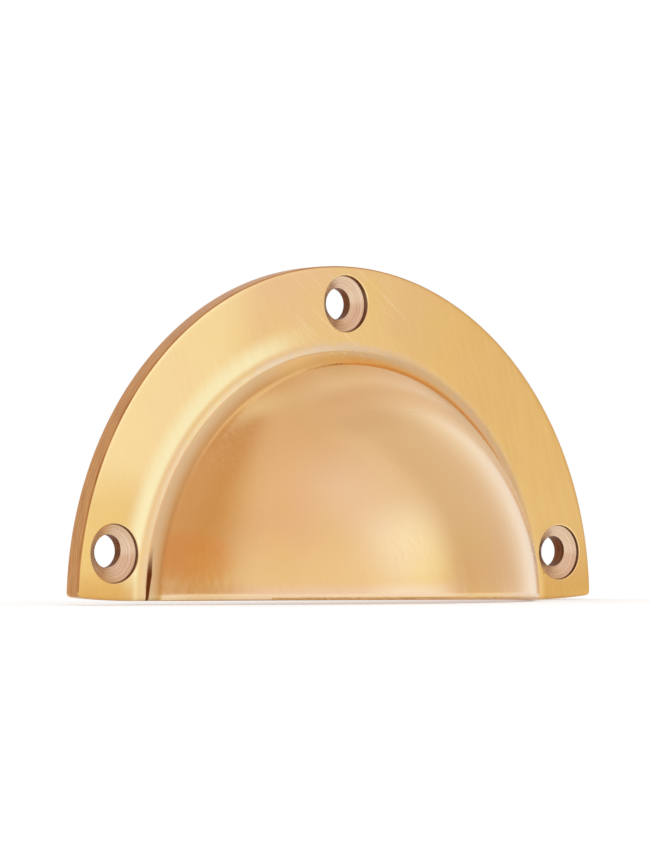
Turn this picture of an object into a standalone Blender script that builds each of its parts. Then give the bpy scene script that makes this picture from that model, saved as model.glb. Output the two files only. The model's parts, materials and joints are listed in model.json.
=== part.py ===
"""Cup pull: a hollow hood standing out of a half-round flange, cast as one piece of brass.

The frame is metres with +Z up. The pull faces -Y, its flat back faces +Y, and its bottom edge lies on z = 0.
The origin is the middle of its bounding box, at the bottom.
"""

import math

import bmesh
import bpy
from mathutils import Matrix

MM = 0.001

# Overall sizes, in millimetres. The flange is half a disc, so the height is half the width.
PULL_WIDTH = 95.0
PROJECTION = 24.6
FLANGE_THICKNESS = 3.2

# The flange: its flat land between the outer rim and the root of the hood, and its eased edges.
LAND_WIDTH = 10.9
RIM_EASE = 0.35
BACK_EASE = 0.4
FOOT_EASE = 0.3

# The back and the bottom were ground by hand. From its left edge to its right edge the flange gains the
# wedge in thickness, with its stated thickness in the middle. The bottom climbs from the right foot to the
# left foot, a little more under the front of the hood, and at each foot's outer corner.
BACK_WEDGE = 0.7
BOTTOM_SLANT = 0.5
LIP_RISE = 0.25
FOOT_RISE = 0.6

# The hood: one wide nose arc that runs out into the root fillet, with a wall of even thickness behind it.
# At its root it stands this much wider on each side than it stands high.
ROOT_FILLET = 3.8
HOOD_SPREAD = 0.76
WALL = 2.6
LIP_ROUND = 0.8

# The screw holes, in the middle of the land: one at the top and one in each foot. Each was opened with a
# twist drill, whose point leaves the cone and whose side leaves a short straight lip above it.
HOLE_DIAMETER = 4.5
SINK_DIAMETER = 7.95
SINK_ANGLE = math.radians(118.0)
SINK_EASE = 0.15
FOOT_HOLE_HEIGHT = 7.1
TOP_SINK_LIP = 0.45
LEFT_SINK_LIP = 0.45
RIGHT_SINK_LIP = 0.35

# How finely the round forms are cut into faces.
CORE_CELLS = 14
SPIN_STEPS = 4 * CORE_CELLS
NOSE_STEPS = 8
FILLET_STEPS = 7
EASE_STEPS = 2
LIP_STEPS = 3
HOLE_STEPS = 40
CORE_SHARE = 0.72
MERGE = 0.005
SHARP_ANGLE = math.radians(35.0)

# The metal, as linear colour.
BRASS_COLOUR = (0.70, 0.45, 0.17, 1.0)
BRASS_ROUGHNESS = 0.24

# Sizes that follow from the ones above.
RIM_RADIUS = PULL_WIDTH / 2
ROOT_RADIUS = RIM_RADIUS - LAND_WIDTH
HOOD_DEPTH = PROJECTION - FLANGE_THICKNESS
FILLET_HEIGHT = FLANGE_THICKNESS + ROOT_FILLET
# The nose arc peaks on the axis, at the full projection, and touches the root fillet where both lean alike.
NOSE_RADIUS = (ROOT_RADIUS ** 2 + (PROJECTION - FILLET_HEIGHT) ** 2 - ROOT_FILLET ** 2) / (2 * HOOD_DEPTH)
NOSE_CENTRE = PROJECTION - NOSE_RADIUS
JOIN_ANGLE = math.atan2(FILLET_HEIGHT - NOSE_CENTRE, ROOT_RADIUS)
CORE_ANGLE = math.acos(CORE_SHARE * math.cos(JOIN_ANGLE))
# The inside of the hood keeps the wall's distance to the nose arc, down to the back of the flange.
HOLLOW_RADIUS = NOSE_RADIUS - WALL
HOLLOW_ANGLE = math.asin(-NOSE_CENTRE / HOLLOW_RADIUS)
HOLE_CIRCLE = (RIM_RADIUS + ROOT_RADIUS) / 2
LIP_WIDTH = min(LIP_ROUND, 0.4 * WALL)
BACK_Y = PROJECTION / 2


def arc(centre, radius, start, end, steps):
    """Points (distance from the axis, depth in front of the back) along an arc, both ends included."""
    turn = (end - start) / steps
    return [
        (centre[0] + radius * math.cos(start + turn * n), centre[1] + radius * math.sin(start + turn * n))
        for n in range(steps + 1)
    ]


def section():
    """The half section of the pull, from the nose over the hood and the flange, and back inside the hood."""
    nose = (0.0, NOSE_CENTRE)
    fillet = (ROOT_RADIUS, FILLET_HEIGHT)
    front_rim = (RIM_RADIUS - RIM_EASE, FLANGE_THICKNESS - RIM_EASE)
    back_rim = (RIM_RADIUS - BACK_EASE, BACK_EASE)
    quarter = math.pi / 2
    points = arc(nose, NOSE_RADIUS, CORE_ANGLE, JOIN_ANGLE, NOSE_STEPS)
    points += arc(fillet, ROOT_FILLET, math.pi + JOIN_ANGLE, math.pi + quarter, FILLET_STEPS)[1:]
    points += arc(front_rim, RIM_EASE, quarter, 0.0, EASE_STEPS)
    points += arc(back_rim, BACK_EASE, 0.0, -quarter, EASE_STEPS)
    points += arc(nose, HOLLOW_RADIUS, HOLLOW_ANGLE, CORE_ANGLE, NOSE_STEPS)
    return points


def add_vertex(bm, across, up, depth):
    return bm.verts.new((across * MM, (BACK_Y - depth) * MM, up * MM))


def spin_section(bm):
    """Turn the section half round the nose's axis, from one foot over the top to the other foot."""
    verts = [add_vertex(bm, radius, 0.0, depth) for radius, depth in section()]
    edges = [bm.edges.new(pair) for pair in zip(verts, verts[1:])]
    bmesh.ops.spin(
        bm, geom=verts + edges, cent=(0, 0, 0), axis=(0, -1, 0), angle=math.pi, steps=SPIN_STEPS,
        use_merge=False, use_duplicate=False,
    )


def fill_nose(bm, radius):
    """Close the nose with half of a rounded grid, so that no pole of thin triangles meets the lip."""
    grid = bmesh.ops.create_grid(bm, x_segments=2 * CORE_CELLS, y_segments=CORE_CELLS, size=1.0)["verts"]
    for vert in grid:
        column = round(vert.co.x * CORE_CELLS)
        row = round((vert.co.y + 1) / 2 * CORE_CELLS)
        ring = max(abs(column), row)
        if row == ring:
            around = math.pi / 2 - math.pi / 4 * column / max(ring, 1)
        else:
            climb = math.pi / 4 * row / ring
            around = climb if column > 0 else math.pi - climb
        slope = math.pi / 2 - (math.pi / 2 - CORE_ANGLE) * ring / CORE_CELLS
        reach = radius * math.cos(slope)
        vert.co.x = reach * math.cos(around) * MM
        vert.co.y = (BACK_Y - NOSE_CENTRE - radius * math.sin(slope)) * MM
        vert.co.z = reach * math.sin(around) * MM


def close_bottom(bm):
    """Close the solid along the bottom, where the lip of the hood and the two feet end."""
    border = [edge for edge in bm.edges if edge.is_boundary]
    bmesh.ops.holes_fill(bm, edges=border, sides=0)
    return border


def spread_hood(bm):
    """Widen the hood a little towards the feet, fading out across the land so that the rim stays round."""
    for vert in bm.verts:
        distance = math.hypot(vert.co.x, vert.co.z) / MM
        fade = min(1.0, max(0.0, (RIM_RADIUS - distance) / LAND_WIDTH))
        vert.co.x *= 1 + HOOD_SPREAD / ROOT_RADIUS * fade


def hood_share(y, reach):
    """How far a place is up the hood: 0 at the flange's front face, 1 from a given reach in front of it."""
    return min(1.0, max(0.0, (BACK_Y - y / MM - FLANGE_THICKNESS) / reach))


def ease_bottom(border, weights):
    """Round the lip of the hood widely and the edges of the feet slightly, as weights for the bevel."""
    least = FOOT_EASE / LIP_WIDTH
    for edge in border:
        middle = (edge.verts[0].co.y + edge.verts[1].co.y) / 2
        edge[weights] = least + (1 - least) * hood_share(middle, ROOT_FILLET)


def grind_bottom(border):
    """Lift the bottom from the exact half disc, which it only keeps at the right foot."""
    for vert in {vert for edge in border for vert in edge.verts}:
        across = vert.co.x / MM
        slant = (1 - min(1.0, max(-1.0, across / ROOT_RADIUS))) / 2
        out = max(0.0, abs(across) - ROOT_RADIUS) / LAND_WIDTH
        lip = hood_share(vert.co.y, HOOD_DEPTH)
        vert.co.z += (BOTTOM_SLANT * slant + LIP_RISE * lip + FOOT_RISE * out ** 2) * MM


def front_tilt():
    """The small turn about the back's upright middle line that gives the flange its wedge."""
    to_back = Matrix.Translation((0.0, BACK_Y * MM, 0.0))
    return to_back @ Matrix.Rotation(-math.atan(BACK_WEDGE / PULL_WIDTH), 4, "Z") @ to_back.inverted()


def grind_back(bm):
    """Tilt the whole casting against its back face and the eased edge round it, which stay square to Y."""
    tilt = front_tilt()
    for vert in bm.verts:
        if vert.co.y < (BACK_Y - BACK_EASE - MERGE) * MM:
            vert.co = tilt @ vert.co


def link_mesh(bm, name):
    mesh = bpy.data.meshes.new(name)
    bm.to_mesh(mesh)
    bm.free()
    mesh.shade_smooth()
    mesh.set_sharp_from_angle(angle=SHARP_ANGLE)
    obj = bpy.data.objects.new(name, mesh)
    bpy.context.scene.collection.objects.link(obj)
    return obj


def make_pull():
    bm = bmesh.new()
    weights = bm.edges.layers.float.new("bevel_weight_edge")
    spin_section(bm)
    fill_nose(bm, NOSE_RADIUS)
    fill_nose(bm, HOLLOW_RADIUS)
    bmesh.ops.remove_doubles(bm, verts=bm.verts, dist=MERGE * MM)
    border = close_bottom(bm)
    spread_hood(bm)
    ease_bottom(border, weights)
    grind_bottom(border)
    grind_back(bm)
    bmesh.ops.recalc_face_normals(bm, faces=bm.faces)
    pull = link_mesh(bm, "cast_pull")
    lip = pull.modifiers.new("Lip", "BEVEL")
    lip.limit_method = "WEIGHT"
    lip.width = LIP_WIDTH * MM
    lip.segments = LIP_STEPS
    lip.use_clamp_overlap = False
    return pull


def make_hole_cutter(name, place, lip):
    """A turned cutter for one countersunk hole: eased rim, short straight lip, cone and through hole."""
    hole = HOLE_DIAMETER / 2
    sink = SINK_DIAMETER / 2
    cone = (sink - hole) / math.tan(SINK_ANGLE / 2)
    clear = FLANGE_THICKNESS
    profile = [
        (0.0, clear),
        (sink + SINK_EASE + clear, clear),
        (sink, -SINK_EASE),
        (sink, -SINK_EASE - lip),
        (hole, -SINK_EASE - lip - cone),
        (hole, -FLANGE_THICKNESS - clear),
        (0.0, -FLANGE_THICKNESS - clear),
    ]
    bm = bmesh.new()
    verts = [bm.verts.new((radius * MM, 0.0, height * MM)) for radius, height in profile]
    edges = [bm.edges.new(pair) for pair in zip(verts, verts[1:])]
    bmesh.ops.spin(
        bm, geom=verts + edges, cent=(0, 0, 0), axis=(0, 0, 1), angle=2 * math.pi, steps=HOLE_STEPS,
        use_merge=True, use_duplicate=False,
    )
    bmesh.ops.remove_doubles(bm, verts=bm.verts, dist=MERGE * MM)
    bmesh.ops.recalc_face_normals(bm, faces=bm.faces)
    cutter = link_mesh(bm, name)
    front_y = BACK_Y - FLANGE_THICKNESS
    across, up = place
    place_on_front = Matrix.Translation((across * MM, front_y * MM, up * MM))
    cutter.matrix_world = front_tilt() @ place_on_front @ Matrix.Rotation(math.pi / 2, 4, "X")
    cutter.display_type = "WIRE"
    cutter.hide_render = True
    return cutter


def cut_holes(pull):
    foot_across = math.sqrt(HOLE_CIRCLE ** 2 - FOOT_HOLE_HEIGHT ** 2)
    holes = (
        ("top_hole", (0.0, HOLE_CIRCLE), TOP_SINK_LIP),
        ("left_hole", (-foot_across, FOOT_HOLE_HEIGHT), LEFT_SINK_LIP),
        ("right_hole", (foot_across, FOOT_HOLE_HEIGHT), RIGHT_SINK_LIP),
    )
    for name, place, lip in holes:
        cut = pull.modifiers.new(name, "BOOLEAN")
        cut.operation = "DIFFERENCE"
        cut.solver = "EXACT"
        cut.object = make_hole_cutter(name, place, lip)


def brass_material():
    material = bpy.data.materials.new("polished_cast_brass")
    material.use_nodes = True
    shader = material.node_tree.nodes["Principled BSDF"]
    shader.inputs["Base Color"].default_value = BRASS_COLOUR
    shader.inputs["Metallic"].default_value = 1.0
    shader.inputs["Roughness"].default_value = BRASS_ROUGHNESS
    return material


def main():
    for obj in list(bpy.data.objects):
        bpy.data.objects.remove(obj, do_unlink=True)
    pull = make_pull()
    cut_holes(pull)
    pull.data.materials.append(brass_material())


main()
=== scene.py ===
# %% [markdown]
# # A cast brass cup pull
#
# This lesson builds the fine surface and the finish of a cup pull: a half-round flat flange with three
# countersunk screw holes, and a hollow hood that swells out of it for the fingertips to reach into from
# below. The real one is a single casting of yellow brass. It was cast in sand, ground flat at the back and
# the bottom, filed round the rim, and polished on the front with a soft wheel.
#
# The plain solid of the pull is loaded first. It gives the frame: metres, Z up, the front facing -Y, the
# flat back facing +Y, and the open mouth of the hood at the bottom. It was cut from a few thousand flat
# facets, which a mirror-like metal would show at once, so the surface is built again here with far more and
# rounder faces, on exactly the same sizes.

# %% Load the solid as the frame
import json
import math

import bpy
from mathutils import Matrix, Vector

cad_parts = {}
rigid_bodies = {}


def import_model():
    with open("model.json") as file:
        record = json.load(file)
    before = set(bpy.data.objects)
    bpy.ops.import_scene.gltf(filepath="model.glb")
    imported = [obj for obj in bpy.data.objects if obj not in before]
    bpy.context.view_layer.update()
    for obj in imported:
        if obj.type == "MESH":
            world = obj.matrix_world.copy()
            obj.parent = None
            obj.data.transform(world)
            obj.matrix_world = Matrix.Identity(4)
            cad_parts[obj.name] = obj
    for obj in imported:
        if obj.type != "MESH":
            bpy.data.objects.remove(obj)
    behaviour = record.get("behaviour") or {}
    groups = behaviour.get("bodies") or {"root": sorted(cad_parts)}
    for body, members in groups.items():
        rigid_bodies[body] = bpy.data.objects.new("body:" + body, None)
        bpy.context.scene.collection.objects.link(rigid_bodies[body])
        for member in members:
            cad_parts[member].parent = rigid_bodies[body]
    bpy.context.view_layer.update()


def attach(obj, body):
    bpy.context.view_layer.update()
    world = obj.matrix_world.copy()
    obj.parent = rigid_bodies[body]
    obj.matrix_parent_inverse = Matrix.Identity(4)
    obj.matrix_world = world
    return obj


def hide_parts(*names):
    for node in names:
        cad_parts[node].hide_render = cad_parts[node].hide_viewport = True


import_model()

# %% [markdown]
# ## Sizes
#
# A pull like this is turned in the mind before it is made in metal: its section is drawn once, from the
# nose of the hood out to the rim, and swung through half a turn. So its sizes are those of the section.
# They are in millimetres, because that is how a pattern maker thinks, and one value turns them into metres.
#
# The nose is one wide arc. It runs out into a small hollow root, the fillet, and both arcs share a tangent
# where they meet. The arc's radius follows from that condition, so it is worked out and not typed in.
#
# The hood is drawn a little narrower than it is, as part of a ball, and stretched sideways later.

# %% The section's sizes
MM = 0.001
PULL_WIDTH = 95.0
PROJECTION = 24.6
FLANGE_THICKNESS = 3.2
LAND_WIDTH = 10.9
ROOT_FILLET = 3.8
HOOD_SPREAD = 0.76
WALL = 2.6

RIM_RADIUS = PULL_WIDTH / 2
ROOT_RADIUS = RIM_RADIUS - LAND_WIDTH
FILLET_HEIGHT = FLANGE_THICKNESS + ROOT_FILLET
NOSE_RADIUS = (
    (ROOT_RADIUS ** 2 + (PROJECTION - FILLET_HEIGHT) ** 2 - ROOT_FILLET ** 2)
    / (2 * (PROJECTION - FLANGE_THICKNESS))
)
NOSE_CENTRE = PROJECTION - NOSE_RADIUS
HOLLOW_RADIUS = NOSE_RADIUS - WALL
JOIN_ANGLE = math.atan2(FILLET_HEIGHT - NOSE_CENTRE, ROOT_RADIUS)
HOLLOW_ANGLE = math.asin(-NOSE_CENTRE / HOLLOW_RADIUS)
HOLLOW_EDGE = HOLLOW_RADIUS * math.cos(HOLLOW_ANGLE)
HOOD_STRETCH = 1 + HOOD_SPREAD / ROOT_RADIUS
BACK_Y = PROJECTION / 2
print(f"nose radius {NOSE_RADIUS:.2f} mm, meets the fillet {math.degrees(JOIN_ANGLE):.1f} degrees up")

# %% [markdown]
# ## Drawing the section with the spin tool
#
# The spin tool is best known for turning a whole outline into a vase. On a single point it draws an arc,
# which is how a compass works: put the point down, name the centre, and swing. A straight run is the same
# point extruded. Each run starts where the last one stopped, because both tools leave the new point
# selected.
#
# A plane is the start of each outline. Its four corners are merged into one point at its middle. An
# operator acts on whatever is selected, and the solid that was just loaded still is, so the first thing
# each step does is to clear the selection.

# %% Tools for drawing an outline
def place(across, depth, up=0.0):
    """A point in metres: across from the middle, in front of the flat back, and up from the bottom."""
    return (across * MM, (BACK_Y - depth) * MM, up * MM)


def select_none():
    for other in bpy.context.selected_objects:
        other.select_set(False)


def select_only(obj):
    select_none()
    obj.select_set(True)
    bpy.context.view_layer.objects.active = obj


def start_point(name, across, depth):
    """A new object with one point, left in edit mode with that point selected."""
    select_none()
    bpy.ops.mesh.primitive_plane_add(size=MM, location=place(across, depth))
    obj = bpy.context.object
    obj.name = name
    bpy.ops.object.transform_apply(location=True)
    bpy.ops.object.mode_set(mode="EDIT")
    bpy.ops.mesh.select_mode(type="VERT")
    bpy.ops.mesh.merge(type="CENTER")
    return obj


def run_arc(centre, turn, steps):
    """Swing the selected point round a centre. A positive turn goes from the right side towards the front."""
    bpy.ops.mesh.spin(steps=steps, angle=turn, center=place(*centre), axis=(0, 0, 1))


def run_line(across, depth=0.0):
    """Draw the selected point out, away from the middle and to the front."""
    bpy.ops.mesh.extrude_region_move(TRANSFORM_OT_translate={"value": (across * MM, -depth * MM, 0.0)})


# %% [markdown]
# ## Two sheets, front and back
#
# The casting is a curved plate, so it is built as two sheets that are joined along their edges. The front
# sheet runs over the hood, through the fillet and across the flat land to the rim. The back sheet runs
# inside the hood and then along the flat back. Both get the same number of points, one for one, so that
# joining them later gives nothing but neat four-sided faces.
#
# The middle of the nose is left open for now. A full spin would crowd all its thin triangles into one pole,
# and that pole would lie right on the lip that the fingers feel.

# %% Draw and turn the two sheets
CORE_CELLS = 14
CORE_SHARE = 0.72
TURN_STEPS = 4 * CORE_CELLS
CORE_ANGLE = math.acos(CORE_SHARE * math.cos(JOIN_ANGLE))
ARC_STEPS = 8
FILLET_STEPS = 9

# Together they are as wide as the land. The first and the last are short, which keeps its edges crisp.
LAND_STEPS = (1.3, 2.9, 3.0, 2.4, 1.3)


def on_nose(radius, angle):
    """Across and depth of a point on a ball round the nose's centre, at an angle up from its level."""
    return radius * math.cos(angle), NOSE_CENTRE + radius * math.sin(angle)


def turn_section(sheet):
    """Swing the drawn section half round, from the right foot over the top to the left foot."""
    bpy.ops.mesh.select_all(action="SELECT")
    bpy.ops.mesh.spin(steps=TURN_STEPS, angle=math.pi, center=(0, 0, 0), axis=(0, 1, 0))
    bpy.ops.object.mode_set(mode="OBJECT")
    print(sheet.name, "has", len(sheet.data.polygons), "faces")


front = start_point("front_sheet", *on_nose(NOSE_RADIUS, CORE_ANGLE))
run_arc((0, NOSE_CENTRE), JOIN_ANGLE - CORE_ANGLE, ARC_STEPS)
run_arc((ROOT_RADIUS, FILLET_HEIGHT), math.pi / 2 - JOIN_ANGLE, FILLET_STEPS)
for step in LAND_STEPS:
    run_line(step)
turn_section(front)

back = start_point("back_sheet", *on_nose(HOLLOW_RADIUS, CORE_ANGLE))
run_arc((0, NOSE_CENTRE), HOLLOW_ANGLE - CORE_ANGLE, ARC_STEPS)
for step in [(ROOT_RADIUS - HOLLOW_EDGE) / FILLET_STEPS] * FILLET_STEPS:
    run_line(step)
for step in LAND_STEPS:
    run_line(step)
turn_section(back)

# %% [markdown]
# ## Closing the nose without a pole
#
# The open core is closed with a flat grid whose square rings are pulled into round ones. Every point knows
# its ring, and how far round that ring it stands, and from those two numbers follows its place on the ball
# of the nose. Its outermost ring falls exactly on the open edge of the sheet, so merging by distance sews
# it in.

# %% Round a grid onto the nose
WELD = 0.005 * MM


def round_core(sheet, radius):
    """Sew a rounded half grid into the open middle of a sheet. Its points start between -1 and 1."""
    select_none()
    bpy.ops.mesh.primitive_grid_add(x_subdivisions=2 * CORE_CELLS, y_subdivisions=CORE_CELLS, size=2.0)
    core = bpy.context.object
    for vert in core.data.vertices:
        column = round(vert.co.x * CORE_CELLS)
        row = round((vert.co.y + 1) / 2 * CORE_CELLS)
        ring = max(abs(column), row)
        if row == ring:
            around = math.pi / 2 - math.pi / 4 * column / max(ring, 1)
        else:
            climb = math.pi / 4 * row / ring
            around = climb if column > 0 else math.pi - climb
        slope = math.pi / 2 - (math.pi / 2 - CORE_ANGLE) * ring / CORE_CELLS
        reach, depth = on_nose(radius, slope)
        vert.co = place(reach * math.cos(around), depth, reach * math.sin(around))
    select_only(sheet)
    core.select_set(True)
    bpy.ops.object.join()
    bpy.ops.object.mode_set(mode="EDIT")
    bpy.ops.mesh.select_all(action="SELECT")
    bpy.ops.mesh.remove_doubles(threshold=WELD)
    bpy.ops.object.mode_set(mode="OBJECT")


round_core(front, NOSE_RADIUS)
round_core(back, HOLLOW_RADIUS)
print("front sheet", len(front.data.polygons), "faces, back sheet", len(back.data.polygons), "faces")

# %% [markdown]
# ## Finishes that follow the making
#
# Each surface of a hand-finished casting shows the last tool that touched it. Marking the faces now, while
# the sheets are still apart, is easier than finding them later: the front is polished, the hollow is left
# as it came from the sand and the tumbler, the flat back is ground on a belt, and the rim between them is
# filed. The holes bring their own finish, because a turning tool cuts them last.
#
# The slots are filled with real materials further down. Here each one only gets its name.

# %% Name the finishes and give each face its slot
FINISHES = ("polished_cast_brass", "linished_brass_rim", "tumbled_cast_brass", "belt_ground_brass")
POLISHED, RIM, HOLLOW, GROUND = range(len(FINISHES))
TOLERANCE = 0.01

for name in FINISHES:
    front.data.materials.append(bpy.data.materials.new(name))
    back.data.materials.append(bpy.data.materials[name])
for face in back.data.polygons:
    face.material_index = GROUND if face.center.y > (BACK_Y - TOLERANCE) * MM else HOLLOW
print("back sheet:", sum(face.material_index == HOLLOW for face in back.data.polygons), "faces in the hollow")

# %% [markdown]
# ## One body
#
# The two sheets become one object. The hood is a little wider than half a ball would be, so each ring of
# points inside the land is stretched sideways: fully up to the root, and less and less across the land, so
# that the rim stays a true half circle.
#
# Then the gap between the sheets is bridged, first along the rim and then along the bottom. The bridge tool
# pairs the points in order, which is why both sheets were given the same number.

# %% Tools for picking edges by place
NEARNESS = 0.002 * MM


def pick_edges(obj, test):
    """Leave obj in edit mode with those edges selected whose both ends pass the test."""
    select_only(obj)
    bpy.ops.object.mode_set(mode="EDIT")
    bpy.ops.mesh.select_mode(type="VERT")
    bpy.ops.mesh.select_all(action="DESELECT")
    bpy.ops.object.mode_set(mode="OBJECT")
    for vert in obj.data.vertices:
        vert.select = test(vert.co)
    bpy.ops.object.mode_set(mode="EDIT")
    bpy.ops.mesh.select_mode(type="EDGE")


def from_axis(co):
    """How far a point is from the hood's axis, in millimetres."""
    return math.hypot(co.x, co.z) / MM


def on_rim(co):
    return abs(from_axis(co) - RIM_RADIUS) < NEARNESS / MM


def on_bottom(co):
    return abs(co.z) < NEARNESS


# %% Join the sheets and stretch the hood
select_only(front)
back.select_set(True)
bpy.ops.object.join()
pull = front
pull.name = "polished_pull"

# The next selection starts just outside the ring that has been stretched.
PAST_STRETCHED = 0.9
inner, ring = -1.0, ROOT_RADIUS
for step in LAND_STEPS:
    stretch = 1 + (HOOD_STRETCH - 1) * (RIM_RADIUS - ring) / LAND_WIDTH
    pick_edges(pull, lambda co: inner < from_axis(co) < ring + TOLERANCE)
    bpy.ops.transform.resize(value=(stretch, 1, 1), center_override=(0, 0, 0))
    inner, ring = ring + PAST_STRETCHED, ring + step

# %% Bridge the rim and the bottom
pick_edges(pull, on_rim)
bpy.ops.mesh.bridge_edge_loops()
bpy.ops.object.mode_set(mode="OBJECT")
for face in pull.data.polygons:
    if all(on_rim(pull.data.vertices[index].co) for index in face.vertices):
        face.material_index = RIM

pick_edges(pull, on_bottom)
bpy.ops.object.mode_set(mode="OBJECT")
for edge in pull.data.edges:
    if edge.select and all(on_rim(pull.data.vertices[index].co) for index in edge.vertices):
        edge.select = False
bpy.ops.object.mode_set(mode="EDIT")
bpy.ops.mesh.bridge_edge_loops()
bpy.ops.mesh.select_all(action="SELECT")
bpy.ops.mesh.normals_make_consistent(inside=False)
bpy.ops.object.mode_set(mode="OBJECT")
for face in pull.data.polygons:
    if all(on_bottom(pull.data.vertices[index].co) for index in face.vertices):
        face.material_index = GROUND
print("closed body:", len(pull.data.polygons), "faces, all four-sided:",
      all(len(face.vertices) == 4 for face in pull.data.polygons))

# %% [markdown]
# ## The ground bottom and its eased edges
#
# The bottom was ground by hand after casting, and it shows: it climbs half a millimetre from the right foot
# to the left, a little more under the front of the hood, and at the outer corner of each foot. These are
# the smallest sizes in the piece, and they are what makes it look made and not drawn.
#
# Edges are eased with one bevel whose width is set edge by edge through bevel weights. The lip that the
# fingers touch is rounded widely, and so are the outer corners of the feet. The rim is rounded less, and
# the bottom of the feet hardly at all. Rounding comes before smoothing, because the smoothing that follows
# would otherwise melt every edge alike.
#
# The back was ground by hand as well, and came out 0.7 mm out of parallel over the pull's width. The whole
# front is tilted by that much about the middle of the back, which stays flat.

# %% Weight the edges that will be eased
BACK_WEDGE = 0.7
BOTTOM_SLANT = 0.5
LIP_RISE = 0.25
FOOT_RISE = 0.6
LIP_ROUND = 0.8
LIP_REACH = 3.8
RIM_EASE = 0.35
BACK_EASE = 0.4
FOOT_EASE = 0.3

FRONT_TURN = Matrix.Rotation(-math.atan(BACK_WEDGE / PULL_WIDTH), 4, "Z")
AT_BACK = Matrix.Translation(place(0, 0))
TILT = AT_BACK @ FRONT_TURN @ AT_BACK.inverted()


def hood_share(co, reach):
    """How far a point is up the hood: 0 at the flange's front face, 1 from a given reach in front of it."""
    return min(1.0, max(0.0, (BACK_Y - co.y / MM - FLANGE_THICKNESS) / reach))


bottom = [vert for vert in pull.data.vertices if on_bottom(vert.co)]
weights = pull.data.attributes.new("bevel_weight_edge", "FLOAT", "EDGE")
corners = {vert.index for vert in bottom}
fronts = {index for face in pull.data.polygons if face.material_index == POLISHED for index in face.vertices}
for edge in pull.data.edges:
    a, b = (pull.data.vertices[index] for index in edge.vertices)
    if {a.index, b.index} <= corners and not (a.index in fronts) ^ (b.index in fronts):
        share = hood_share((a.co + b.co) / 2, LIP_REACH)
        weights.data[edge.index].value = (FOOT_EASE + (LIP_ROUND - FOOT_EASE) * share) / LIP_ROUND
    elif on_rim(a.co) and on_rim(b.co):
        if {a.index, b.index} <= corners:
            weights.data[edge.index].value = 1.0
        elif a.index in fronts and b.index in fronts:
            weights.data[edge.index].value = RIM_EASE / LIP_ROUND
        elif not (a.index in fronts or b.index in fronts):
            weights.data[edge.index].value = BACK_EASE / LIP_ROUND
print("edges to ease:", sum(weight.value > 0 for weight in weights.data))

# %% Grind the bottom and tilt the front
for vert in bottom:
    across = vert.co.x / MM
    slant = (1 - min(1.0, max(-1.0, across / ROOT_RADIUS))) / 2
    out = max(0.0, abs(across) - ROOT_RADIUS) / LAND_WIDTH
    lift = BOTTOM_SLANT * slant + LIP_RISE * hood_share(vert.co, PROJECTION - FLANGE_THICKNESS)
    vert.co.z += (lift + FOOT_RISE * out ** 2) * MM
for vert in pull.data.vertices:
    on_back = abs(vert.co.y - BACK_Y * MM) < NEARNESS
    vert.co = TILT @ vert.co
    if on_back:
        vert.co.y = BACK_Y * MM
print("bottom points lifted:", len(bottom), "highest", round(max(vert.co.z for vert in bottom) / MM, 2), "mm")

# %% Round the edges, then smooth the whole body
EASE_SEGMENTS = 3
SMOOTHING = 2

select_only(pull)
easing = pull.modifiers.new("Eased edges", "BEVEL")
easing.limit_method = "WEIGHT"
easing.width = LIP_ROUND * MM
easing.segments = EASE_SEGMENTS
easing.use_clamp_overlap = False
bpy.ops.object.modifier_apply(modifier=easing.name)
print("eased:", len(pull.data.polygons), "faces")
smooth = pull.modifiers.new("Smooth", "SUBSURF")
smooth.levels = smooth.render_levels = SMOOTHING
bpy.ops.object.modifier_apply(modifier=smooth.name)
print("smoothed:", len(pull.data.polygons), "faces")

# %% [markdown]
# ## The crease round the root
#
# Where the polishing wheel stopped against the hood it left a fine step, less than a tenth of a millimetre
# high, and the metal just outside it is worn a little hollow. It shows as a thin line of light that runs
# round the whole root. On the left foot a nick lies just inside the step, half a millimetre wide and 8 mm
# long, deepest at the bottom edge, as if a tool had slipped there.
#
# The smoothed body has points a tenth of a millimetre apart at the root, so both can be pressed into it by
# moving points. Only the front is pressed: points behind the flange's middle belong to the back sheet.

# %% Press the crease into the fillet
CREASE_RADIUS = 35.45
CREASE_DEPTH = 0.07
CREASE_WEAR = 1.7
NICK_DEPTH = 0.12
NICK_WIDTH = 0.5
NICK_TOP = 8.0

untilt = TILT.inverted()
pressed = 0
for vert in pull.data.vertices:
    flat = untilt @ vert.co
    if flat.y > (BACK_Y - FLANGE_THICKNESS / 2) * MM:
        continue
    out = math.hypot(flat.x / HOOD_STRETCH, flat.z) / MM - CREASE_RADIUS
    if 0 < out < CREASE_WEAR:
        vert.co.y += CREASE_DEPTH * (1 - out / CREASE_WEAR) ** 2 * MM
        pressed += 1
    elif -NICK_WIDTH < out <= 0 and flat.x < 0 and flat.z < NICK_TOP * MM:
        across_nick = math.sin(math.pi * -out / NICK_WIDTH)
        vert.co.y += NICK_DEPTH * across_nick * (1 - flat.z / MM / NICK_TOP) * MM
        pressed += 1
print("points pressed in:", pressed)

# %% [markdown]
# ## The screw holes
#
# Each hole was drilled through and then opened with a larger twist drill, by hand and by eye. That is plain
# from their shape: the cone is as blunt as a drill point, there is a short straight wall above it, and cone
# and hole don't quite share a centre. The sharp edge round each mouth was taken off in the polishing.
#
# A hole is best made as the tool makes it: the drill is a turned solid with its own outline, and a Boolean
# takes it out of the plate. Once the plate is smooth this can't spoil its flatness, so the holes come after
# the subdivision. Each drill carries the finish that it leaves, and the Boolean hands it on.

# %% Turn the drills
HOLE_DIAMETER = 4.5
SINK_DIAMETER = 7.95
SINK_ANGLE = math.radians(118)
SINK_EASE = 0.25
MOUTH_SLOPE = math.radians(30)
DRILL_STEPS = 96
MOUTH_STEPS = 3
CLEAR = 1.2

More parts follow.
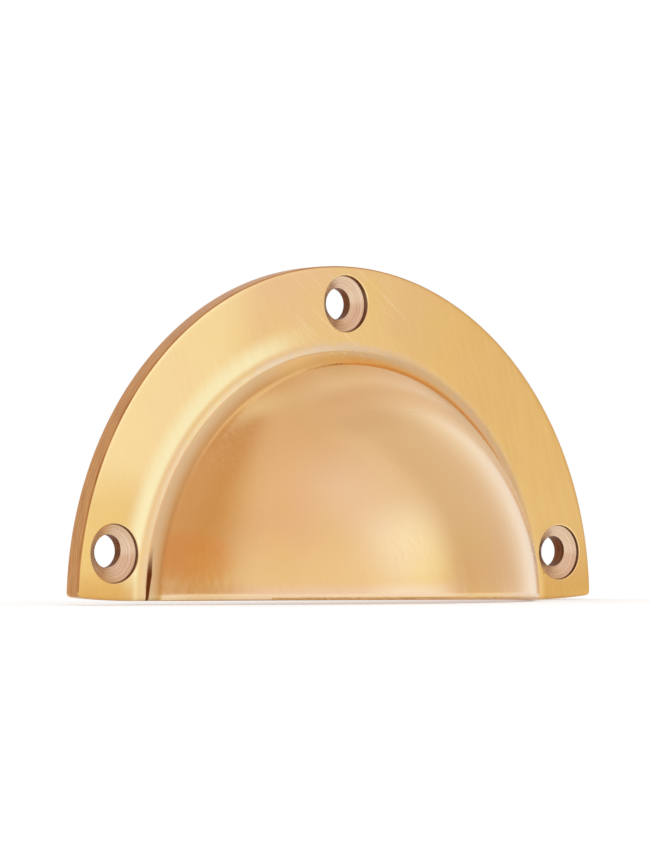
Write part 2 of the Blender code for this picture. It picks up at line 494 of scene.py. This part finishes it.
# Where each hole and its wide part stand, across and up, and how high the wall above the cone is.
HOLES = {
    "top": {"hole": (-0.15, 42.2), "sink": (-0.1, 42.15), "lip": 0.5},
    "left": {"hole": (-41.3, 7.3), "sink": (-41.25, 6.95), "lip": 0.3},
    "right": {"hole": (41.25, 7.1), "sink": (41.15, 6.95), "lip": 0.25},
}
drilled = bpy.data.materials.new("drilled_brass_bore")
turned = bpy.data.materials.new("turned_brass_countersink")


def turn_drill(drill, across, up, material):
    """Turn the outline that was just drawn once round the Y axis, and put the drill in its place."""
    bpy.ops.mesh.select_all(action="SELECT")
    bpy.ops.mesh.spin(steps=DRILL_STEPS, angle=2 * math.pi, center=(0, 0, 0), axis=(0, 1, 0))
    bpy.ops.mesh.select_all(action="SELECT")
    bpy.ops.mesh.remove_doubles(threshold=WELD)
    bpy.ops.mesh.normals_make_consistent(inside=False)
    bpy.ops.transform.translate(value=(across * MM, 0, up * MM))
    bpy.ops.object.mode_set(mode="OBJECT")
    drill.data.transform(TILT)
    drill.data.materials.append(material)
    return drill


def through_drill(name, across, up):
    """The narrow drill, which goes through the plate and clears it on both sides."""
    drill = start_point(name + "_drill", 0.0, -CLEAR)
    run_line(HOLE_DIAMETER / 2)
    run_line(0.0, FLANGE_THICKNESS + 2 * CLEAR)
    run_line(-HOLE_DIAMETER / 2)
    return turn_drill(drill, across, up, drilled)


def sink_drill(name, across, up, lip):
    """The wide drill: its point, its straight side, and the eased mouth that polishing leaves round it."""
    radius = SINK_DIAMETER / 2
    cone = radius / math.tan(SINK_ANGLE / 2)
    drill = start_point(name + "_sink", 0.0, FLANGE_THICKNESS - SINK_EASE - lip - cone)
    run_line(radius, cone)
    run_line(0.0, lip)
    run_arc((radius + SINK_EASE, FLANGE_THICKNESS - SINK_EASE), MOUTH_SLOPE - math.pi / 2, MOUTH_STEPS)
    run_line(CLEAR, CLEAR * math.tan(MOUTH_SLOPE))
    run_line(-radius - CLEAR - SINK_EASE / 2)
    return turn_drill(drill, across, up, turned)


def cut(body, drill):
    """Take the drill's shape out of the body, hand its finish on, and put the drill away."""
    cutting = body.modifiers.new(drill.name, "BOOLEAN")
    cutting.operation = "DIFFERENCE"
    cutting.solver = "EXACT"
    cutting.material_mode = "TRANSFER"
    cutting.object = drill
    select_only(body)
    bpy.ops.object.modifier_apply(modifier=cutting.name)
    bpy.data.objects.remove(drill)


# %% Drill the holes
SHARP_FROM = math.radians(30)

for name, hole in HOLES.items():
    cut(pull, sink_drill(name, *hole["sink"], hole["lip"]))
    cut(pull, through_drill(name, *hole["hole"]))
    print(name, "hole drilled:", len(pull.data.polygons), "faces")
bpy.ops.object.shade_smooth_by_angle(angle=SHARP_FROM)

# %% [markdown]
# ## Reading the metal
#
# Brass is copper with about a third of zinc. Polished and untarnished it reflects nearly all the red light,
# most of the green and under half of the blue, and it has no colour of its own beside that: what the eye
# sees is the room, tinted. A finish is then a chain of nodes that says, for each place on the metal, how it
# tints, how sharply it mirrors and how it is dented. The places are counted in millimetres on the pull
# itself, so a pattern has the size that the tool gave it and nothing can stretch.
#
# Small helpers keep the chains readable. One turns the sRGB hex values that a colour picker gives into the
# linear values that light is reckoned in. One adds a node, and fills its sockets in their order or by name.
# Noise gives values round a half, nearly all of them between 0.3 and 0.7, so that is the span that gets
# stretched.

# %% Helpers for finishes
SOFT = {"interpolation_type": "SMOOTHSTEP"}
COLOURS = {"data_type": "RGBA"}
NOISE_SPAN = (0.3, 0.7)


def linear(hex_colour):
    """An sRGB hex value as linear colour."""
    shares = [int(hex_colour[index:index + 2], 16) / 255 for index in (0, 2, 4)]
    light = [share / 12.92 if share <= 0.04045 else ((share + 0.055) / 1.055) ** 2.4 for share in shares]
    return (*light, 1.0)


def fill(tree, socket, given):
    """Set a socket to a value or a hex colour, or link it to an output or to a node's first open output."""
    if isinstance(given, bpy.types.Node):
        given = next(output for output in given.outputs if output.enabled)
    if isinstance(given, bpy.types.NodeSocket):
        tree.links.new(given, socket)
    else:
        socket.default_value = linear(given) if isinstance(given, str) else given


def add_node(tree, kind, *in_order, **named):
    """Add a node. A named value fills the socket or the setting of that name, the others its open sockets."""
    node = tree.nodes.new("ShaderNode" + kind)
    for name, given in named.items():
        if name in node.inputs:
            fill(tree, node.inputs[name], given)
        else:
            setattr(node, name, given)
    for socket, given in zip([socket for socket in node.inputs if socket.enabled], in_order):
        fill(tree, socket, given)
    return node


# %% Helpers that start and end a finish
def start_material(name):
    """A bare metal: its node tree, its shader, and the place on the pull in millimetres."""
    material = bpy.data.materials[name]
    material.use_nodes = True
    tree = material.node_tree
    shader = tree.nodes["Principled BSDF"]
    shader.inputs["Metallic"].default_value = 1.0
    metres = add_node(tree, "TexCoord").outputs["Object"]
    return tree, shader, add_node(tree, "VectorMath", metres, (1 / MM, 1 / MM, 1 / MM), operation="MULTIPLY")


def dress(tree, shader, colour, roughness, height, depth):
    """Give the shader its colour, its roughness, and a relief whose full depth is in millimetres."""
    bump = add_node(tree, "Bump", Height=height, Strength=1.0, Distance=depth * MM)
    for name, given in (("Base Color", colour), ("Roughness", roughness), ("Normal", bump)):
        fill(tree, shader.inputs[name], given)
    print(shader.id_data.name, "has", len(tree.nodes), "nodes")


# %% Helpers that measure and draw on the metal
def grain(tree, where, size, stretch=(1, 1, 1), turn=0.0, detail=3.0):
    """Noise with grains of a size in millimetres, turned in the front's plane, stretched along each axis."""
    turned_place = add_node(tree, "Mapping", Vector=where, Rotation=(0, turn, 0), vector_type="POINT")
    fineness = [1 / (size * share) for share in stretch]
    scaled = add_node(tree, "VectorMath", turned_place, fineness, operation="MULTIPLY")
    return add_node(tree, "TexNoise", Vector=scaled, Scale=1.0, Detail=detail)


def distance(tree, where, across, up, stretch=1.0):
    """How far a place is from an axis through the front, as if nothing had been stretched sideways."""
    offset = add_node(tree, "VectorMath", where, (across, 0, up), operation="SUBTRACT")
    flattened = add_node(tree, "VectorMath", offset, (1 / stretch, 0, 1), operation="MULTIPLY")
    return add_node(tree, "VectorMath", flattened, operation="LENGTH")


def cover(tree, strength, *limits):
    """A share of the surface. Each limit fades it in: none at its first number, all of it at its second."""
    for source, start, stop in limits:
        step = add_node(tree, "MapRange", source, start, stop, **SOFT)
        strength = add_node(tree, "Math", step, strength, operation="MULTIPLY")
    return strength


def paint(tree, colour, zones, *everywhere):
    """Lay tints over a colour. A zone is a tint, its strength, and the limits between which it fades in."""
    for tint, strength, *limits in zones:
        share = cover(tree, strength, *everywhere, *limits)
        colour = add_node(tree, "Mix", share, colour, tint, **COLOURS)
    return colour


# %% [markdown]
# ## Polished cast brass
#
# The front has been polished on a soft wheel. Its colour isn't even: the zinc shows as a greener yellow in
# one place and the copper as a pinker one in the next, over patches of a centimetre or so.
#
# Over these patches lie painted light and shade: highlights, reflections and shaded places that the eye picks
# out, each with a tint of its own. They are laid on like thin washes: a tint, how strong it is, and where it
# fades in. Places are given by x, to the right of the middle, by z, up from the bottom, and by reach, the
# distance from the hood's axis, all in millimetres.
# Since the casting was turned in the mind, reach is what follows the hood's foot all the way round: the
# hood ends at about 33.4 mm, the hollow root lies outside it, the crease at 35.5 mm, and then the flat
# flange.

# %% Two alloys in patches
PATCH_SIZE = 14.0
GREEN_SIZE = 9.0

tree, shader, where = start_material("polished_cast_brass")
x, _, z = add_node(tree, "SeparateXYZ", where).outputs
reach = distance(tree, where, 0, 0, HOOD_STRETCH)

copper_rich = add_node(tree, "MapRange", grain(tree, where, PATCH_SIZE, detail=2.0), 0.35, 0.65, **SOFT)
colour = add_node(tree, "Mix", copper_rich, "f4d391", "f1cd9a", **COLOURS)
zinc_rich = grain(tree, where, GREEN_SIZE, turn=0.7, detail=1.0)
zinc_rich = add_node(tree, "MapRange", zinc_rich, 0.5, 0.75, 0.0, 0.5, **SOFT)
colour = add_node(tree, "Mix", zinc_rich, colour, "f0d284", **COLOURS)

# %% Painted light and shade on the hood
on_hood = (reach, 33.5, 33.2)
hood_painted_light_and_shade = (
    ("f6dcb4", 0.8, (x, -22, -12), (z, 1, 15)),  # painted reflection, paler and pinker from the nose to the right
    ("f1d5b2", 1.0, (x, 4, 22)),  # painted reflection, beige on the right flank
    ("e9c492", 0.9, (z, 22, 28), (x, 12, -6)),  # painted shade, tan on the upper slope
    ("e9c48c", 0.9, (z, 15, 23), (x, -6, -16)),  # painted shade, tan lower down on its left
    ("ffecb4", 0.3, (z, 12, 4), (z, 1.2, 3.4), (x, -8, -16)),  # a painted yellow highlight above the lip
    ("ffecb4", 1.0, (z, 12, 4), (z, 1.2, 3.4), (x, -23, -31)),  # the same painted highlight, full near the left foot
    ("f9dfbc", 0.9, (z, 3.4, 1.4), (x, -32, -27), (x, 5, -3)),  # the rounded lip, pale with a painted reflection of the paper below
    ("f9e0b0", 0.45, (reach, 24, 32), (x, -16, -26), (z, 30, 22)),  # painted light, pale yellow on the left shoulder
)
colour = paint(tree, colour, hood_painted_light_and_shade, on_hood)

# A painted warm reflection on the hood's left foot, centred here.
PAINTED_GLOW_PLACE = (-31.5, 6.5)
PAINTED_GLOW_RADIUS = 4.56
from_painted_glow = distance(tree, where, *PAINTED_GLOW_PLACE)
from_painted_glow_squared = add_node(tree, "Math", from_painted_glow, from_painted_glow, operation="MULTIPLY")
foot_painted_light = (
    # a painted highlight along the margin of the hood's left foot
    ("ffebc8", 0.75, (reach, 30.8, 33.2), (reach, 33.85, 33.45), (x, -18, -27), (z, 27, 17)),
    # a painted warm reflection in it, 4 to 5 mm in radius
    ("ffb866", 0.35, (from_painted_glow_squared, PAINTED_GLOW_RADIUS ** 2, 0.0)),
)
colour = paint(tree, colour, foot_painted_light)
print("washes on the hood:", len(hood_painted_light_and_shade) + len(foot_painted_light))

# %% [markdown]
# ## The foot of the hood and the worn root
#
# The wheel can't reach into the corner between hood and flange. There the hood keeps a skin that was only
# brushed: it is duller, and it is painted paler, as painted light for the light of the whole room that it
# spreads. The root outside it is painted browner, a painted reflection, and a thin warm line of painted
# reflection parts the two. Along the crease runs a pale and broken thread of painted highlight, and on the
# left foot a nick runs along it, painted dark as shade, because no light gets to its bottom.
#
# Part of this is a painter's trick. The real hood turns into its root more sharply than the smooth body
# here, whose shoulder mirrors a second picture of the flange. The paler and duller skin hides that second
# picture.

# %% Painted light and shade on the root
NICK_SHADE_MIDDLE = 4.0
NICK_SHADE_TAPER = 0.07
CREASE_HIGHLIGHT_GRAIN = 1.1

# Painted light: the brushed skin is painted paler, whitest on the right.
skin_painted_light = add_node(tree, "Mix", cover(tree, 1.0, (x, -4, 14)), "f8deb0", "fff2e2", **COLOURS)
# Painted reflection: the root is browner on the left and paler towards the right.
root_painted_reflection = add_node(tree, "Mix", cover(tree, 1.0, (reach, 33.8, 34.9)), "d4aa6f", "dfc69a", **COLOURS)
# Painted shade in the nick: widest 4 mm up, narrowing above and below.
from_nick_shade_middle = add_node(tree, "Math", z, NICK_SHADE_MIDDLE, operation="SUBTRACT")
from_nick_shade_middle = add_node(tree, "Math", from_nick_shade_middle, operation="ABSOLUTE")
nick_shade_reach = add_node(tree, "Math", from_nick_shade_middle, -NICK_SHADE_TAPER, reach, operation="MULTIPLY_ADD")
# A painted highlight along the crease, broken by noise and stronger towards the right.
crease_highlight = add_node(tree, "MapRange", grain(tree, where, CREASE_HIGHLIGHT_GRAIN), 0.3, 0.6, 0.35, 0.7, **SOFT)
crease_highlight_right = add_node(tree, "MapRange", x, -30, -6, 0.45, 1.0, **SOFT)
crease_highlight = add_node(tree, "Math", crease_highlight, crease_highlight_right, operation="MULTIPLY")

root_painted_light_and_shade = (
    # painted light on the brushed skin at the top of the hood, and on its wider part on the right
    (skin_painted_light, 0.9, (reach, 29.4, 31.4), (reach, 33.5, 33.35), (x, -16, -6)),
    ("e9d4b2", 0.8, (reach, 26.0, 30.5), (reach, 33.5, 33.35), (x, 8, 18)),
    # painted reflection on the root, pale on the right
    ("e6d0b2", 0.7, (reach, 34.1, 34.9), (reach, 35.5, 35.4), (x, -8, 6)),
    # a warm painted reflection as a line between hood and root
    ("eaae58", 0.8, (reach, 33.35, 33.5), (reach, 35.3, 34.0), (x, -12, 2)),
    # painted reflection on the root, brown on the left
    (root_painted_reflection, 0.9, (reach, 33.6, 33.95), (reach, 35.5, 35.2), (x, -8, -18)),
    # painted shade in the nick, and then a broken painted highlight along the crease
    ("6a3410", 1.0, (nick_shade_reach, 34.75, 34.9), (reach, 35.5, 35.4), (z, 8.5, 4), (x, -20, -30)),
    ("e6d2bc", crease_highlight, (reach, 35.3, 35.5), (reach, 37.2, 35.9), (x, 37, 31)),
)
colour = paint(tree, colour, root_painted_light_and_shade)
print("washes on the root:", len(root_painted_light_and_shade))

# %% Painted light and shade on the flange
flange_painted_light_and_shade = (
    ("ffe8ae", 0.75, (reach, 36.8, 38.0), (x, -14, -24), (z, 12, 20)),  # painted light, light yellow at the upper left
    ("f0cc74", 0.5, (reach, 37.0, 39.0), (x, -30, -40), (z, 22, 8)),  # painted reflection, deeper yellow towards the left foot
    ("edc880", 0.8, (reach, 35.6, 37.0), (x, -4, 26)),  # painted shade, light brown on the whole right side
    ("fff6c6", 1.0, (reach, 36.4, 37.4), (reach, 40.5, 37.6), (x, -4, -18)),  # a painted highlight outside the crease
    ("e2b061", 0.8, (reach, 36.5, 38.0), (z, 6, 1)),  # painted reflection, orange along the ground edge
    ("dcae66", 0.6, (reach, 36.5, 38.0), (z, 14, 3), (x, 20, 36)),  # painted shade, brown up the right foot
)
colour = paint(tree, colour, flange_painted_light_and_shade)
print("washes on the flange:", len(flange_painted_light_and_shade))

# %% [markdown]
# ## Scratches, wheel marks and waves
#
# Long diagonal scratches lie round the top hole, where the screwdriver and the cloth went. Each is 0.3 mm
# wide and thirty times as long: noise that is stretched along one axis and then cut off, so that only its
# crests are left. The wheel's own marks are fainter. Real ones are a few hundredths of a millimetre wide
# and wouldn't show, so they are drawn half a millimetre wide. Under both lie waves about a centimetre long,
# one or two hundredths of a millimetre high, from the hand that held the casting to the wheel. They bend
# the reflections, and without them the hood would look turned on a lathe.
#
# The wheel leaves a roughness of 0.17 to 0.25. It is evened out where the brushed skin starts, because the
# marks would show there as a dotted edge.

# %% Scratches and wheel marks
SCRATCH_WIDTH = 0.28
SCRATCH_STRETCH = 30
SCRATCH_TURN = math.radians(52)
SCRATCH_PALER = 0.25
SCRATCH_DULLER = 0.08
MARK_WIDTH = 0.5
MARK_STRETCH = 12
MARK_TURN = math.radians(20)
MARK_ROUGHNESS = (0.17, 0.25)
EVEN_ROUGHNESS = 0.21
SKIN_DULLER = 0.3
WAVE_LENGTH = 11.0
RELIEF_DEPTH = 0.01
WAVE_SHARE, MARK_SHARE, SCRATCH_SHARE = 4.0, 0.18, 0.3

scratches = grain(tree, where, SCRATCH_WIDTH, (1, 1, SCRATCH_STRETCH), SCRATCH_TURN, detail=1.0)
from_top_hole = distance(tree, where, *HOLES["top"]["sink"])
near_top_hole = add_node(tree, "MapRange", from_top_hole, 4.5, 19.0, 1.0, 0.12, **SOFT)
scratched = cover(tree, near_top_hole, (scratches, 0.6, 0.72))
paler = add_node(tree, "Math", scratched, SCRATCH_PALER, operation="MULTIPLY")
colour = paint(tree, colour, (("fbe9c4", paler),))

marks = grain(tree, where, MARK_WIDTH, (1, 1, MARK_STRETCH), MARK_TURN)
roughness = add_node(tree, "MapRange", marks, *NOISE_SPAN, *MARK_ROUGHNESS, **SOFT)
calm = cover(tree, 1.0, (reach, 20, 25), (reach, 33.7, 33.4), (x, -24, -16))
roughness = add_node(tree, "Mix", calm, roughness, EVEN_ROUGHNESS)
roughness = add_node(tree, "Math", scratched, SCRATCH_DULLER, roughness, operation="MULTIPLY_ADD")
dull = cover(tree, SKIN_DULLER, (reach, 25.5, 29.5), (reach, 33.6, 33.3), (x, -20, -8))
roughness = add_node(tree, "Math", roughness, dull, operation="ADD")

waves = grain(tree, where, WAVE_LENGTH, detail=1.0)
height = add_node(tree, "Math", waves, WAVE_SHARE, operation="MULTIPLY")
height = add_node(tree, "Math", marks, MARK_SHARE, height, operation="MULTIPLY_ADD")
height = add_node(tree, "Math", scratched, -SCRATCH_SHARE, height, operation="MULTIPLY_ADD")
dress(tree, shader, colour, roughness, height, RELIEF_DEPTH)

# %% [markdown]
# ## The rim, the hollow and the back
#
# The rim was filed and linished along its length. The fine lines round it spread each reflection across
# them, so it looks satin and browner than the front. The hollow is as it came from the tumbler, matt and
# pebbled, with darker stains. The back was drawn over a belt from side to side, and so was the bottom:
# straight strokes, and brighter than the rim.
#
# One kind of noise makes all three. Only its size and its stretch differ, as the grit and the way of the
# tool do.

# %% Linished rim
LINE_WIDTH = 0.22
LINE_STRETCH = 18
LINE_ROUGHNESS = (0.36, 0.5)
tree, shader, where = start_material("linished_brass_rim")
lines = grain(tree, where, LINE_WIDTH, stretch=(LINE_STRETCH, 1, LINE_STRETCH), detail=2.0)
colour = add_node(tree, "Mix", cover(tree, 1.0, (lines, 0.35, 0.65)), "b98150", "d09c66", **COLOURS)
roughness = add_node(tree, "MapRange", lines, *NOISE_SPAN, *LINE_ROUGHNESS, **SOFT)
dress(tree, shader, colour, roughness, lines, depth=0.012)

# %% Tumbled hollow
PEBBLE_SIZE = 0.9
PEBBLE_ROUGHNESS = (0.42, 0.6)
STAIN_SIZE = 8.0
tree, shader, where = start_material("tumbled_cast_brass")
pebbles = grain(tree, where, PEBBLE_SIZE)
stained = cover(tree, 1.0, (grain(tree, where, STAIN_SIZE), 0.4, 0.65))
colour = add_node(tree, "Mix", stained, "d2a26b", "ba8657", **COLOURS)
roughness = add_node(tree, "MapRange", pebbles, *NOISE_SPAN, *PEBBLE_ROUGHNESS, **SOFT)
dress(tree, shader, colour, roughness, pebbles, depth=0.06)

# %% Belt-ground back and bottom
STROKE_WIDTH = 0.2
STROKE_STRETCH = 60
STROKE_ROUGHNESS = (0.28, 0.42)
tree, shader, where = start_material("belt_ground_brass")
strokes = grain(tree, where, STROKE_WIDTH, stretch=(STROKE_STRETCH, 1, 1), detail=2.0)
colour = add_node(tree, "Mix", cover(tree, 1.0, (strokes, 0.35, 0.65)), "d3a56c", "e9c18a", **COLOURS)
roughness = add_node(tree, "MapRange", strokes, *NOISE_SPAN, *STROKE_ROUGHNESS, **SOFT)
dress(tree, shader, colour, roughness, strokes, depth=0.008)

# %% [markdown]
# ## Turned cones and drilled bores
#
# A turning drill leaves rings. Noise that is read by the distance from the nearest hole's axis, and by the
# depth, comes out as such rings without any drawing. The cone is nearly clean metal. Its short straight
# wall is painted brown, a painted reflection of the dark bore, and the eased edge outside it gets a painted
# highlight all round. The bore is darker and rougher: chips were dragged through it.

# %% Turned cones and drilled bores
RINGS_PER_MM = 4.5
for name, light, dark, ring_roughness in (
    ("turned_brass_countersink", "ecd2b8", "dabb9a", (0.22, 0.34)),
    ("drilled_brass_bore", "8e5734", "5e3620", (0.4, 0.6)),
):
    tree, shader, where = start_material(name)
    nearest = distance(tree, where, *HOLES["top"]["sink"])
    for side in ("left", "right"):
        this_hole = distance(tree, where, *HOLES[side]["sink"])
        nearest = add_node(tree, "Math", nearest, this_hole, operation="MINIMUM")
    depth = add_node(tree, "SeparateXYZ", where).outputs["Y"]
    ring_place = add_node(tree, "CombineXYZ", nearest, depth)
    rings = add_node(tree, "TexNoise", Vector=ring_place, Scale=RINGS_PER_MM, Detail=2.0)
    colour = add_node(tree, "Mix", cover(tree, 1.0, (rings, 0.36, 0.66)), dark, light, **COLOURS)
    # A painted reflection on the straight wall and a painted highlight on the eased edge.
    colour = paint(tree, colour, (
        ("6e3e1c", 0.75, (nearest, 3.88, 3.95), (nearest, 4.06, 4.0)),  # the straight wall, with a painted reflection of the dark bore
        ("ffe6a8", 1.0, (nearest, 4.0, 4.06)),  # the eased edge, with a painted highlight
    ))
    roughness = add_node(tree, "MapRange", rings, *NOISE_SPAN, *ring_roughness, **SOFT)
    dress(tree, shader, colour, roughness, rings, depth=0.01)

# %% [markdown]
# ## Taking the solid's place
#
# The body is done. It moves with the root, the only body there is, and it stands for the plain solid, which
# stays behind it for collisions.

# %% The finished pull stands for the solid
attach(pull, "root")
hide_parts("cast_pull")

# %% [markdown]
# ## Camera
#
# The camera stands low, almost level with the bottom edge, and about forty degrees to the left of the pull.
# It is a long lens from about sixty centimetres, so the two feet are drawn at nearly the same size. It is
# placed as a photographer would: choose the point to aim at, step back from it in one direction, and turn
# the camera a little about its own axis. Its focal length was measured in pixels of the picture, and the
# sensor's size turns that into millimetres.

# %% Place the camera
CAMERA_SIDE = math.radians(-40.278)
CAMERA_RISE = math.radians(-1.547)
CAMERA_ROLL = math.radians(-0.101)
CAMERA_DISTANCE = 588.65
FOCUS_PIXELS = 4153.18
AIM_ACROSS = -1.3121
AIM_UP = 23.792
AIM_BEHIND_FACE = 2.825
IMAGE_HEIGHT = 868
SENSOR = 36.0

backwards = Vector((
    math.sin(CAMERA_SIDE) * math.cos(CAMERA_RISE),
    -math.cos(CAMERA_SIDE) * math.cos(CAMERA_RISE),
    math.sin(CAMERA_RISE),
))
right = (-backwards).cross(Vector((0, 0, 1))).normalized()
above = right.cross(-backwards)
rolled_right = math.cos(CAMERA_ROLL) * right + math.sin(CAMERA_ROLL) * above
rolled_above = math.cos(CAMERA_ROLL) * above - math.sin(CAMERA_ROLL) * right
aim = Vector((
    AIM_ACROSS * math.cos(CAMERA_SIDE),
    AIM_ACROSS * math.sin(CAMERA_SIDE) + BACK_Y - FLANGE_THICKNESS + AIM_BEHIND_FACE,
    AIM_UP,
))
eye = (aim + backwards * CAMERA_DISTANCE) * MM

camera = bpy.data.objects.new("camera", bpy.data.cameras.new("camera"))
facing = Matrix((rolled_right, rolled_above, backwards)).transposed().to_4x4()
camera.matrix_world = TILT @ Matrix.Translation(eye) @ facing
camera.data.sensor_width = SENSOR
camera.data.lens = FOCUS_PIXELS * SENSOR / IMAGE_HEIGHT
camera.data.clip_end = 20.0
bpy.context.scene.collection.objects.link(camera)
bpy.context.scene.camera = camera
print(f"camera at {eye.x:.3f}, {eye.y:.3f}, {eye.z:.3f} m, lens {camera.data.lens:.1f} mm")

# %% [markdown]
# ## Light and ground
#
# Metal shows its surroundings, so lighting it means placing things where its reflections look. White paper
# lies under the pull. Its own faint light keeps it white in the picture and in the reflections, and doesn't
# fall on the pull a second time, because only camera and mirror rays are given it. A soft shadow stays on
# the paper.

# %% Floor
FLOOR_RADIUS = 1.5
FLOOR_CORNERS = 96
WHITE = (1, 1, 1, 1)
PAPER_GLOW = 0.25
PAPER_LOOKS = {
    "Base Color": (0.8, 0.8, 0.8, 1),
    "Roughness": 0.9,
    "Specular IOR Level": 0.0,
    "Emission Color": WHITE,
}

bpy.ops.mesh.primitive_circle_add(
    vertices=FLOOR_CORNERS, radius=FLOOR_RADIUS, fill_type="NGON", location=(0, 0, 0)
)
floor = bpy.context.object
floor.name = "floor"
paper = bpy.data.materials.new("white_paper")
paper.use_nodes = True
tree = paper.node_tree
shader = tree.nodes["Principled BSDF"]
for name, look in PAPER_LOOKS.items():
    shader.inputs[name].default_value = look
ray = add_node(tree, "LightPath").outputs
seen = add_node(tree, "Math", ray["Is Camera Ray"], ray["Is Glossy Ray"], operation="MAXIMUM")
paper_glow = add_node(tree, "Math", seen, PAPER_GLOW, operation="MULTIPLY")
fill(tree, shader.inputs["Emission Strength"], paper_glow)
floor.data.materials.append(paper)
print("floor:", round(2 * FLOOR_RADIUS, 2), "m across")

# %% [markdown]
# ## A warm tent that only mirrors see
#
# The photograph was made in a room: the hood mirrors a warm white in front, and browner things at the
# sides. A half dome stands in for that room. It glows in a run of colours from left to right, and the
# camera and the shadows don't see it, so it changes nothing but the reflections. Its colours are linear, as
# light is.

# %% Hang the tent
TENT_RADIUS = 2.5
TENT_SEGMENTS = 72
TENT_HALF = 100
TENT = (
    (-TENT_HALF, (0.60, 0.33, 0.15)),
    (-62, (0.66, 0.40, 0.20)),
    (-45, (0.88, 0.72, 0.65)),
    (0, (0.90, 0.76, 0.73)),
    (42, (0.86, 0.72, 0.60)),
    (50, (0.74, 0.60, 0.46)),
    (85, (0.80, 0.66, 0.55)),
    (TENT_HALF, (0.95, 0.90, 0.85)),
)


def glowing(name, strength):
    """A material that only gives light: the material, its node tree and the light's node."""
    material = bpy.data.materials.new(name)
    material.use_nodes = True
    tree = material.node_tree
    tree.nodes.remove(tree.nodes["Principled BSDF"])
    glow = add_node(tree, "Emission", Strength=strength)
    fill(tree, tree.nodes["Material Output"].inputs["Surface"], glow)
    return material, tree, glow


def hang(card, material):
    """Show a card to mirrors and to nothing else."""
    card.data.materials.append(material)
    card.visible_camera = card.visible_diffuse = card.visible_shadow = False


bpy.ops.mesh.primitive_uv_sphere_add(
    segments=TENT_SEGMENTS, ring_count=TENT_SEGMENTS // 2, radius=TENT_RADIUS, location=(0, 0, 0)
)
tent = bpy.context.object
tent.name = "warm_tent"
select_only(tent)
bpy.ops.object.mode_set(mode="EDIT")
bpy.ops.mesh.select_mode(type="FACE")
bpy.ops.mesh.select_all(action="DESELECT")
bpy.ops.object.mode_set(mode="OBJECT")
for face in tent.data.polygons:
    from_ahead = math.degrees(math.atan2(face.center.x, -face.center.y))
    face.select = face.center.z < 0 or not -TENT_HALF < from_ahead < TENT_HALF
bpy.ops.object.mode_set(mode="EDIT")
bpy.ops.mesh.delete(type="FACE")
bpy.ops.object.mode_set(mode="OBJECT")

material, tree, glow = glowing("warm_tent", 1.0)
right_of, behind, _ = add_node(tree, "SeparateXYZ", add_node(tree, "TexCoord").outputs["Object"]).outputs
ahead = add_node(tree, "Math", behind, -1.0, operation="MULTIPLY")
azimuth = add_node(tree, "Math", right_of, ahead, operation="ARCTAN2")
share = add_node(tree, "MapRange", azimuth, math.radians(-TENT_HALF), math.radians(TENT_HALF))
ramp = add_node(tree, "ValToRGB", share)
stops = ramp.color_ramp.elements
for degrees, colour in TENT[1:-1]:
    stops.new((degrees + TENT_HALF) / (2 * TENT_HALF)).color = (*colour, 1)
for end in (0, -1):
    stops[end].color = (*TENT[end][1], 1)
fill(tree, glow.inputs["Color"], ramp)
hang(tent, material)
print("tent:", len(tent.data.polygons), "faces,", len(stops), "colours")

# %% [markdown]
# ## One soft-edged sheet of light
#
# The broad highlight on the hood is the mirror image of one white sheet, to the right of straight ahead and
# a little above. Its edge in the photograph is soft, as a lamp behind cloth gives. So the sheet is a plane
# that thins out towards its edges: the mix of light and nothing follows the distance from each side.

# %% Hang the softbox
SOFTBOX_SIDE = math.radians(23.5)
SOFTBOX_RISE = math.radians(17)
SOFTBOX_DISTANCE = 1.6
SOFTBOX_SIZE = (1.5, 1.4)
SOFTBOX_TINT = (0.95, 1.0, 1.07, 1)
SOFTBOX_STRENGTH = 1.12
SOFT_EDGE = 0.42

bpy.ops.mesh.primitive_plane_add(size=1.0, location=(0, 0, 0))
softbox = bpy.context.object
softbox.name = "key_softbox"
toward = Vector((
    math.sin(SOFTBOX_SIDE) * math.cos(SOFTBOX_RISE),
    -math.cos(SOFTBOX_SIDE) * math.cos(SOFTBOX_RISE),
    math.sin(SOFTBOX_RISE),
))
facing = toward.to_track_quat("Z", "Y").to_matrix().to_4x4()
softbox.data.transform(Matrix.Diagonal((*SOFTBOX_SIZE, 1, 1)))
softbox.data.transform(Matrix.Translation(toward * SOFTBOX_DISTANCE) @ facing)

material, tree, glow = glowing("softbox_cloth", SOFTBOX_STRENGTH)
glow.inputs["Color"].default_value = SOFTBOX_TINT
sheet_u, sheet_v, _ = add_node(tree, "SeparateXYZ", add_node(tree, "TexCoord").outputs["UV"]).outputs
edges = []
for along in (sheet_u, sheet_v):
    edges += [(along, 0, SOFT_EDGE), (along, 1, 1 - SOFT_EDGE)]
veil = add_node(tree, "MixShader", cover(tree, 1.0, *edges), add_node(tree, "BsdfTransparent"), glow)
fill(tree, tree.nodes["Material Output"].inputs["Surface"], veil)
hang(softbox, material)
print("softbox toward", [round(part, 3) for part in toward])

# %% [markdown]
# ## World
#
# The photograph is cut out on white, so the world is plain white. It also gives the even light from all
# sides that fills the shadows. The view transform is Standard, because the tints above are those that a
# screen should show.

# %% World
world = bpy.data.worlds.new("white_studio")
bpy.context.scene.world = world
world.use_nodes = True
background = world.node_tree.nodes["Background"]
background.inputs["Color"].default_value = WHITE
background.inputs["Strength"].default_value = 1.0
bpy.context.scene.view_settings.view_transform = "Standard"
